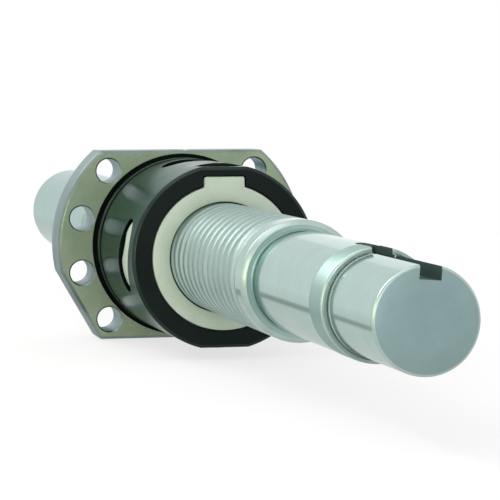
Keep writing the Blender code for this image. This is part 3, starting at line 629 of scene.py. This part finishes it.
def plastic(name, colour, shade, roughness, grain, depth):
    """Moulded plastic, off-white: a fine spark-eroded mould texture and slow shade some 9 mm across.

    grain is the texture's width and depth its height in millimetres.
    """
    mat = bpy.data.materials.new(name)
    mat.use_nodes = True
    tree = mat.node_tree
    shader = tree.nodes["Principled BSDF"]
    place = add(tree, "ShaderNodeTexCoord").outputs["Object"]
    slow = add(tree, "ShaderNodeTexNoise", {"Vector": place, "Scale": 1.0 / (9.0 * MM),
                                            "Detail": 4.0}).outputs["Fac"]
    fine = add(tree, "ShaderNodeTexNoise", {"Vector": place, "Scale": 1.0 / (grain * MM),
                                            "Detail": 2.0}).outputs["Fac"]
    mixed = add(tree, "ShaderNodeMath", {0: fine, 1: 0.4, 2: slow}, operation="MULTIPLY_ADD").outputs[0]
    part = add(tree, "ShaderNodeMapRange", {"Value": mixed, "From Min": 0.45, "From Max": 0.95}).outputs[0]
    tint = add(tree, "ShaderNodeMix", {"Factor": part, "A": linear(colour), "B": linear(shade)},
               data_type="RGBA")
    gloss = add(tree, "ShaderNodeMapRange", {"Value": fine, "To Min": roughness - 0.06,
                                             "To Max": roughness + 0.08}).outputs[0]
    bump = add(tree, "ShaderNodeBump", {"Height": fine, "Strength": 0.5, "Distance": depth * MM})
    tree.links.new(tint.outputs["Result"], shader.inputs["Base Color"])
    tree.links.new(gloss, shader.inputs["Roughness"])
    tree.links.new(bump.outputs["Normal"], shader.inputs["Normal"])
    return mat


def helix_point(place, degrees):
    """Ball centre in the loaded turn, measured in degrees from the return."""
    angle, middle = place
    a = np.radians(angle + degrees)
    x = middle - LEAD / 2 + LEAD * degrees / 360.0
    return np.stack([x, PITCH_R * np.cos(a), PITCH_R * np.sin(a)], axis=-1)


def return_point(place, degrees):
    """Ball centre in the crossover: x = middle - e sin(p), radius = PITCH_R + CROSS_LIFT cos(p) ** 0.6."""
    angle, middle = place
    a = np.radians(angle + degrees)
    e = LEAD / 2 - LEAD * CROSS_DEG / 360.0
    p = np.clip(degrees / CROSS_DEG, -1.0, 1.0) * quarter
    r = PITCH_R + CROSS_LIFT * np.maximum(np.cos(p), 0.0) ** 0.6
    bridge = np.stack([middle - e * np.sin(p), r * np.cos(a), r * np.sin(a)], axis=-1)
    outside = helix_point(place, np.where(degrees > 0, degrees, degrees + 360.0))
    return np.where(np.abs(degrees)[:, None] < CROSS_DEG, bridge, outside)


def swept(path, radius, columns):
    """Circles carried along a path, closed at both ends by its end points.

    Each circle stands across the path, with its first point turned away from the axis.
    """
    way = np.gradient(path, axis=0)
    way /= np.linalg.norm(way, axis=1, keepdims=True)
    out = path * [0.0, 1.0, 1.0]
    out -= way * (out * way).sum(axis=1, keepdims=True)
    out /= np.linalg.norm(out, axis=1, keepdims=True)
    side = np.cross(way, out)
    a = (np.arange(columns) * TURN / columns)[:, None]
    rows = path[:, None] + radius * (np.cos(a) * out[:, None] + np.sin(a) * side[:, None])
    first, last = np.repeat(path[:1], columns, axis=0), np.repeat(path[-1:], columns, axis=0)
    return np.concatenate([first[None], rows, last[None]])


# Glass-filled nylon: a greyish cream, satin, with almost no shine in the pocket.
return_plastic = plastic("moulded_return_plastic", "#a6b5a2", "#93a28f",
                         roughness=0.48, grain=0.5, depth=0.01)
cap_low, cap_top = BORE_R - 0.08, BARREL_R - CAP_DROP
cap_levels = [(cap_low, 0.0, 0.0), (cap_low, 0.5, 0.0), (cap_low, 0.985, 0.0), (BORE_R + 0.3, 1.0, 0.0),
              (cap_top, 1.0, 0.8), (cap_top, 0.985, 0.4), (cap_top, 0.955, 0.12), (cap_top, 0.92, 0.0),
              (cap_top, 0.6, 0.0), (cap_top, 0.3, 0.0), (cap_top, 0.0, 0.0)]
for number, place in enumerate(RETURN_PLACES, 1):
    bridge = solid(f"ball_return_{number}", slot_rows(place, RETURN_HALF_W, RETURN_HALF_L, cap_levels),
                   quads(0, len(cap_levels), SLOT_COLUMNS), [return_plastic], outward=True)
    route = return_point(place, np.linspace(-CHANNEL_REACH_DEG, CHANNEL_REACH_DEG, 41))
    channel_rows = swept(route, BALL_R + PLAY, CHANNEL_COLUMNS)
    channel = solid(f"channel_cutter_{number}", channel_rows, quads(0, len(channel_rows), CHANNEL_COLUMNS),
                    [return_plastic], outward=True)
    cut(bridge, [channel])
    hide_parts(f"return_insert_{number}")
    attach(bridge, "nut")

# The balls.
# Through-hardened chrome steel, lapped to a mirror. Each circuit has twenty-two in the loaded
# turn and three crossing back through its return.
TRAIN_FROM_DEG = 27.0
TRAIN_BALLS = 22
RETURN_DEG = np.array([-13.0, 0.0, 13.0])
BALL_ROWS = 9
BALL_COLUMNS = 14
# Lapping leaves no marks that show: sharp, small highlights.
ball_steel = machined_steel("lapped_chrome_steel", "#c6cccc", "#b9c0c0",
                            roughness=0.06, feed=0.20, depth=0.0001)
latitude = np.linspace(0.0, math.pi, BALL_ROWS)
ball_profile = np.stack([-BALL_R * np.cos(latitude), BALL_R * np.sin(latitude)], axis=-1)
ball = round_rows(ball_profile, np.arange(BALL_COLUMNS) * TURN / BALL_COLUMNS)
ball_faces = quads(0, BALL_ROWS, BALL_COLUMNS)
for number, place in enumerate(RETURN_PLACES, 1):
    loaded = helix_point(place, np.linspace(TRAIN_FROM_DEG, 360.0 - TRAIN_FROM_DEG, TRAIN_BALLS))
    centres = np.concatenate([loaded, return_point(place, RETURN_DEG)])
    faces = np.concatenate([ball_faces + n * BALL_ROWS * BALL_COLUMNS for n in range(len(centres))])
    circuit = solid(f"ball_circuit_{number}", centres[:, None, None] + ball, faces, [ball_steel],
                    sharp=60.0)
    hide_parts(f"ball_train_{number}", *(f"return_ball_{number}{letter}" for letter in "abc"))
    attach(circuit, "nut")

# The wipers.
# Cream plastic rings, one in each end of the nut, that keep chips out of the thread. One wide
# tab at the top keys each of them to the nut.
WIPER_R = 25.3
WIPER_BORE_R = 19.3
LIP_GROOVE = 0.7
TAB_POWER = 40
# Wiper plastic is soft and matt, so its face is one even cream.
wiper_plastic = plastic("moulded_wiper_plastic", "#c0ccbb", "#b3c0ae",
                        roughness=0.55, grain=0.7, depth=0.012)
tab_corner = math.atan2(TAB_TOP, TAB_HALF)
tab_foot = math.acos(TAB_HALF / WIPER_R)
keys = np.array([tab_corner, math.pi - tab_corner, tab_foot, math.pi - tab_foot])
even = np.arange(160) * TURN / 160
near = np.concatenate([keys + offset for offset in np.radians([-1.6, -0.8, -0.3, 0.0, 0.3, 0.8, 1.6])])
clear = np.abs(even[:, None] - near).min(axis=1) > math.radians(0.4)
wiper_angles = np.sort(np.concatenate([near, even[clear]]))


def ring_outline(inset):
    """Radius at each angle of the wiper's ring, pulled in by inset."""
    return np.full(len(wiper_angles), WIPER_R - inset)


def tab_outline(inset):
    """The ring, or out to the tab's rectangle where that is further, pulled in by inset.

    A power mean with n = TAB_POWER softens the rectangle's corners:
    r = ((|cos a| / half) ** n + (sin a / top) ** n) ** (-1 / n).
    """
    c, s = np.abs(np.cos(wiper_angles)), np.maximum(np.sin(wiper_angles), 1e-6)
    half, top = TAB_HALF - inset, TAB_TOP - inset
    tab = ((c / half) ** TAB_POWER + (s / top) ** TAB_POWER) ** (-1 / TAB_POWER)
    return np.maximum(ring_outline(inset), np.where(np.sin(wiper_angles) > 0.5, tab, 0.0))


def wiper(name, face_x, thickness, way):
    """A wiper whose outer face is at face_x; way is +1 where that face looks to +X and -1 for -X.

    Each row is (distance behind the outer face, radius at each angle), from the back over the
    tab to the face and through the bore, whose lip has two grooves that hold grease.
    """
    bore = np.full(len(wiper_angles), WIPER_BORE_R)
    rows = [(thickness, bore + 0.5), (thickness, ring_outline(0.4)), (thickness - 0.4, ring_outline(0.0)),
            (TAB_T, ring_outline(0.0)), (TAB_T, tab_outline(0.25)), (TAB_T - 0.25, tab_outline(0.0)),
            (0.45, tab_outline(0.0)), (0.13, tab_outline(0.13)), (0.0, tab_outline(0.45)),
            (0.0, ring_outline(3.0)), (0.0, bore + 0.45), (0.12, bore + 0.12), (0.45, bore),
            (1.7, bore), (2.4, bore + LIP_GROOVE), (3.1, bore), (3.8, bore), (4.5, bore + LIP_GROOVE),
            (thickness, bore + 0.5)]
    points = [np.stack([face_x - way * behind + 0 * r, r * np.cos(wiper_angles), r * np.sin(wiper_angles)],
                       axis=-1) for behind, r in rows]
    return solid(name, points, quads(0, len(points), len(wiper_angles)), [wiper_plastic],
                 sharp=38.0, outward=True)


near_wiper = wiper("near_wiper", NUT_X - WIPER_DROP, NEAR_WIPER_T, 1.0)
far_wiper = wiper("far_wiper", -FLANGE_T + WIPER_DROP, FAR_WIPER_T, -1.0)
for piece, node in ((near_wiper, "wiper_front"), (far_wiper, "wiper_rear")):
    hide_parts(node)
    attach(piece, "nut")

# The lubrication plug.
# A short grub screw of blackened steel in the flange's top flat, with a hexagon socket. It
# closes the oil port when no fitting is in use.
PLUG_R = 3.6
PLUG_TOP = 34.4
PLUG_LENGTH = 5.4
SOCKET_R = 2.2
SOCKET_DEEP = 2.5
PLUG_COLUMNS = 72
PLUG_PITCH = 0.8
PLUG_RIDGE = 0.16
# Chemical blackening is dark and satin.
plug_steel = machined_steel("blackened_plug_steel", "#4b4f4d", "#3a3e3c",
                            roughness=0.34, feed=0.30, depth=0.001)
plug_angles = (np.arange(PLUG_COLUMNS) + 0.5) * TURN / PLUG_COLUMNS
sixth = TURN / 6
hexagon = SOCKET_R * math.cos(sixth / 2) / np.cos((plug_angles % sixth) - sixth / 2)
plug_bottom = PLUG_TOP - PLUG_LENGTH
# The fine thread is drawn as rings, near enough for a screw that shows only its head.
thread_z = np.linspace(plug_bottom + 0.6, PLUG_TOP - 0.7, 27)
ridges = PLUG_R - PLUG_RIDGE - PLUG_RIDGE * np.cos((thread_z - thread_z[0]) / PLUG_PITCH * TURN)
plug_profile = [(0.0, plug_bottom), (PLUG_R - 0.9, plug_bottom), *zip(ridges, thread_z),
                (PLUG_R, PLUG_TOP - 0.45), (PLUG_R - 0.45, PLUG_TOP), (SOCKET_R + 0.25, PLUG_TOP)]
socket_levels = [(1.0, PLUG_TOP - 0.2), (1.0, PLUG_TOP - SOCKET_DEEP), (0.0, PLUG_TOP - SOCKET_DEEP - 0.7)]
socket = [np.stack([PORT_X + hexagon * size * np.cos(plug_angles), hexagon * size * np.sin(plug_angles),
                    z + 0 * hexagon], axis=-1) for size, z in socket_levels]
plug_rows = np.concatenate([upright(plug_profile, plug_angles, PORT_X), socket])
plug = solid("grub_screw", plug_rows, quads(0, len(plug_rows), PLUG_COLUMNS), [plug_steel], outward=True)
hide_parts("lube_plug")
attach(plug, "nut")

# The snap ring.
# Spring steel, stamped and ground, sprung onto its seat behind the bearing journal. It is open
# over the keyway.
RING_X = 272.72
RING_THICK = 1.5
RING_IN_R = 14.9
RING_OUT_R = 15.85
RING_ROWS = 145
RING_SOFT = 0.12
RING_GAP_AT = 90.0 + KEY_TURN
RING_GAP_DEG = 2 * math.degrees(math.asin((key_half + 0.37) / RING_IN_R))
# Ground spring steel: light grey, with a soft highlight.
ring_steel = machined_steel("ground_spring_steel", "#a3b6b0", "#93a69f",
                            roughness=0.30, feed=0.30, depth=0.001)
# The section is a rectangle with its corners taken off by RING_SOFT of its sides. It is carried
# round the arc, and at both cut ends it shrinks to one point.
soft = (RING_SOFT, 1.0 - RING_SOFT)
section = np.array([(0.0, soft[0]), (0.0, soft[1]), (soft[0], 1.0), (soft[1], 1.0),
                    (1.0, soft[1]), (1.0, soft[0]), (soft[1], 0.0), (soft[0], 0.0)]) - 0.5
arc = np.radians(RING_GAP_AT + RING_GAP_DEG / 2 + np.linspace(0.0, 360.0 - RING_GAP_DEG, RING_ROWS))
arc = np.concatenate([arc[:1], arc, arc[-1:]])[:, None]
size = np.ones((len(arc), 1))
size[[0, -1]] = 0.0
ring_x = RING_X + RING_THICK / 2 + size * RING_THICK * section[:, 0]
ring_r = (RING_IN_R + RING_OUT_R) / 2 + size * (RING_OUT_R - RING_IN_R) * section[:, 1]
ring_rows = np.stack([ring_x, ring_r * np.cos(arc), ring_r * np.sin(arc)], axis=-1)
snap = solid("retaining_ring", ring_rows, quads(0, len(arc), len(section)), [ring_steel], outward=True)
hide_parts("snap_ring")
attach(snap, "ring")

# The studio.
# A pale floor that fades into a white surround, four softboxes, a pale green strip, a narrow
# spot, a grey card, and the camera at the photograph's place. Places here are in metres.
FLOOR_HALF = 1500.0
FLOOR_Z = -FLANGE_HALF_H - 0.4


def plain_rays(tree):
    """The Is Glossy Ray socket, and one that is 1 for camera, glossy and transmission rays."""
    rays = add(tree, "ShaderNodeLightPath").outputs
    glossy = rays["Is Glossy Ray"]
    direct = add(tree, "ShaderNodeMath", {0: rays["Is Camera Ray"], 1: glossy},
                 operation="MAXIMUM").outputs[0]
    shown = add(tree, "ShaderNodeMath", {0: direct, 1: rays["Is Transmission Ray"]}, operation="MAXIMUM")
    return glossy, shown.outputs[0]


def studio_sheet(name, corners, z, finish):
    """A flat four-cornered sheet at the height z, in millimetres, which isn't part of the object."""
    mesh = bpy.data.meshes.new(name)
    mesh.from_pydata([(x * MM, y * MM, z * MM) for x, y in corners], [], [(0, 1, 2, 3)])
    mesh.materials.append(finish)
    made = bpy.data.objects.new(name, mesh)
    bpy.context.scene.collection.objects.link(made)
    return made


# White paper, quite matt. Camera, glossy and transmission rays see it most of the way to white,
# with its shadow left in, and the steel reflects it a little darker. It fades out from 0.45 to
# 0.85 m, where the white surround takes over.
paper = bpy.data.materials.new("matt_white_paper")
paper.use_nodes = True
tree = paper.node_tree
paper_shader = tree.nodes["Principled BSDF"]
paper_shader.inputs["Base Color"].default_value = linear("#f4f4f2")
paper_shader.inputs["Roughness"].default_value = 0.9
place = add(tree, "ShaderNodeTexCoord").outputs["Object"]
away = add(tree, "ShaderNodeVectorMath", {0: place}, operation="LENGTH").outputs["Value"]
fade_out = add(tree, "ShaderNodeMapRange", {"Value": away, "From Min": 0.45, "From Max": 0.85},
               interpolation_type="SMOOTHSTEP").outputs[0]
glossy, shown = plain_rays(tree)
share = add(tree, "ShaderNodeMath", {0: shown, 1: 0.7}, operation="MULTIPLY").outputs[0]
level = add(tree, "ShaderNodeMapRange", {"Value": glossy, "To Min": 1.0, "To Max": 0.78}).outputs[0]
glow = add(tree, "ShaderNodeEmission", {"Color": (1.0, 1.0, 1.0, 1.0), "Strength": level}).outputs[0]
lit = add(tree, "ShaderNodeMixShader", {0: share, 1: paper_shader.outputs[0], 2: glow}).outputs[0]
clear_air = add(tree, "ShaderNodeBsdfTransparent").outputs[0]
mixed = add(tree, "ShaderNodeMixShader", {0: fade_out, 1: lit, 2: clear_air}).outputs[0]
tree.links.new(mixed, tree.nodes["Material Output"].inputs["Surface"])
studio_sheet("floor", [(-FLOOR_HALF, -FLOOR_HALF), (FLOOR_HALF, -FLOOR_HALF), (FLOOR_HALF, FLOOR_HALF),
                       (-FLOOR_HALF, FLOOR_HALF)], FLOOR_Z, paper)

world = bpy.data.worlds.new("white_surround")
bpy.context.scene.world = world
world.use_nodes = True
tree = world.node_tree
_, shown = plain_rays(tree)
level = add(tree, "ShaderNodeMapRange", {"Value": shown, "To Min": 0.92, "To Max": 1.0}).outputs[0]
tree.links.new(level, tree.nodes["Background"].inputs["Strength"])
tree.nodes["Background"].inputs["Color"].default_value = (1.0, 1.0, 1.0, 1.0)


def aimed(place, aim):
    """A matrix at place whose -Z points to aim, with +Y as near to upright as it can be."""
    way = Vector(aim) - Vector(place)
    return Matrix.Translation(place) @ way.to_track_quat("-Z", "Y").to_matrix().to_4x4()


def lamp(name, kind, place, aim, watts):
    """A lamp at place that looks at aim and that the camera doesn't see. Returns its data."""
    data = bpy.data.lights.new(name, kind)
    data.energy = watts
    made = bpy.data.objects.new(name, data)
    bpy.context.scene.collection.objects.link(made)
    made.matrix_world = aimed(place, aim)
    made.visible_camera = False
    return data


NUT_PLACE = (0.05, 0.0, 0.0)
THREAD_PLACE = (0.20, 0.0, 0.0)
JOURNAL_PLACE = (0.26, 0.0, 0.0)
BAND_PLACE = (0.266, -0.0115, 0.0115)
BEHIND_PLACE = (-0.60, -0.55, 0.62)
lamp("softbox_above", "AREA", (0.15, -0.35, 0.9), NUT_PLACE, 0.9).size = 0.6
lamp("softbox_behind", "AREA", BEHIND_PLACE, JOURNAL_PLACE, 4.2).size = 0.5
lamp("softbox_beyond", "AREA", (-1.16, 0.55, 0.40), JOURNAL_PLACE, 0.36).size = 0.8
lamp("softbox_front", "AREA", (1.3, -0.75, 0.35), NUT_PLACE, 4.0).size = 0.9
# An upright strip to the left gives the chamfers their pale green glint.
strip = lamp("pale_green_strip", "AREA", (0.45, -1.0, 0.20), THREAD_PLACE, 0.9)
strip.shape = "RECTANGLE"
strip.size = 0.12
strip.size_y = 0.45
strip.color = (0.97, 1.0, 0.50)
# A narrow spot at the same place as the softbox behind picks out the band on the journal.
spot = lamp("band_spot", "SPOT", BEHIND_PLACE, BAND_PLACE, 46.0)
spot.color = (1.0, 0.93, 0.95)
spot.spot_size = math.radians(3.4)
spot.spot_blend = 0.6
spot.shadow_soft_size = 0.06

# A narrow grey card on the floor beside the screw. Only reflections see it: the polished
# journals show it as one thin dark line along their left side. Its middle line runs between
# the two CARD_ENDS, in millimetres.
CARD_ENDS = ((-75.0, -56.0), (155.0, -64.0))
CARD_HALF = 11.0
card_paint = bpy.data.materials.new("matt_grey_card")
card_paint.use_nodes = True
card_shader = card_paint.node_tree.nodes["Principled BSDF"]
card_shader.inputs["Base Color"].default_value = linear("#9ba3a0")
card_shader.inputs["Roughness"].default_value = 0.9
(card_x0, card_y0), (card_x1, card_y1) = CARD_ENDS
card = studio_sheet("card", [(card_x0, card_y0 - CARD_HALF), (card_x1, card_y1 - CARD_HALF),
                             (card_x1, card_y1 + CARD_HALF), (card_x0, card_y0 + CARD_HALF)],
                    -FLANGE_HALF_H, card_paint)
card.visible_camera = False
card.visible_shadow = False
card.visible_diffuse = False

# The camera stands some 0.6 m in front of the drive end, a little to the left and above, and
# looks at a point in the plane of the flange's face. Its roll is in degrees.
CAMERA_PLACE = (0.95504, -0.19074, 0.06193)
CAMERA_AIM = (0.0, 0.02607, -0.00266)
CAMERA_ROLL = -0.117
lens = bpy.data.cameras.new("camera")
lens.lens = 187.84
lens.sensor_width = 36.0
lens.clip_end = 20.0
camera = bpy.data.objects.new("camera", lens)
bpy.context.scene.collection.objects.link(camera)
roll = Matrix.Rotation(math.radians(CAMERA_ROLL), 4, "Z")
camera.matrix_world = aimed(CAMERA_PLACE, CAMERA_AIM) @ roll
bpy.context.scene.camera = camera
bpy.context.scene.view_settings.view_transform = "Standard"
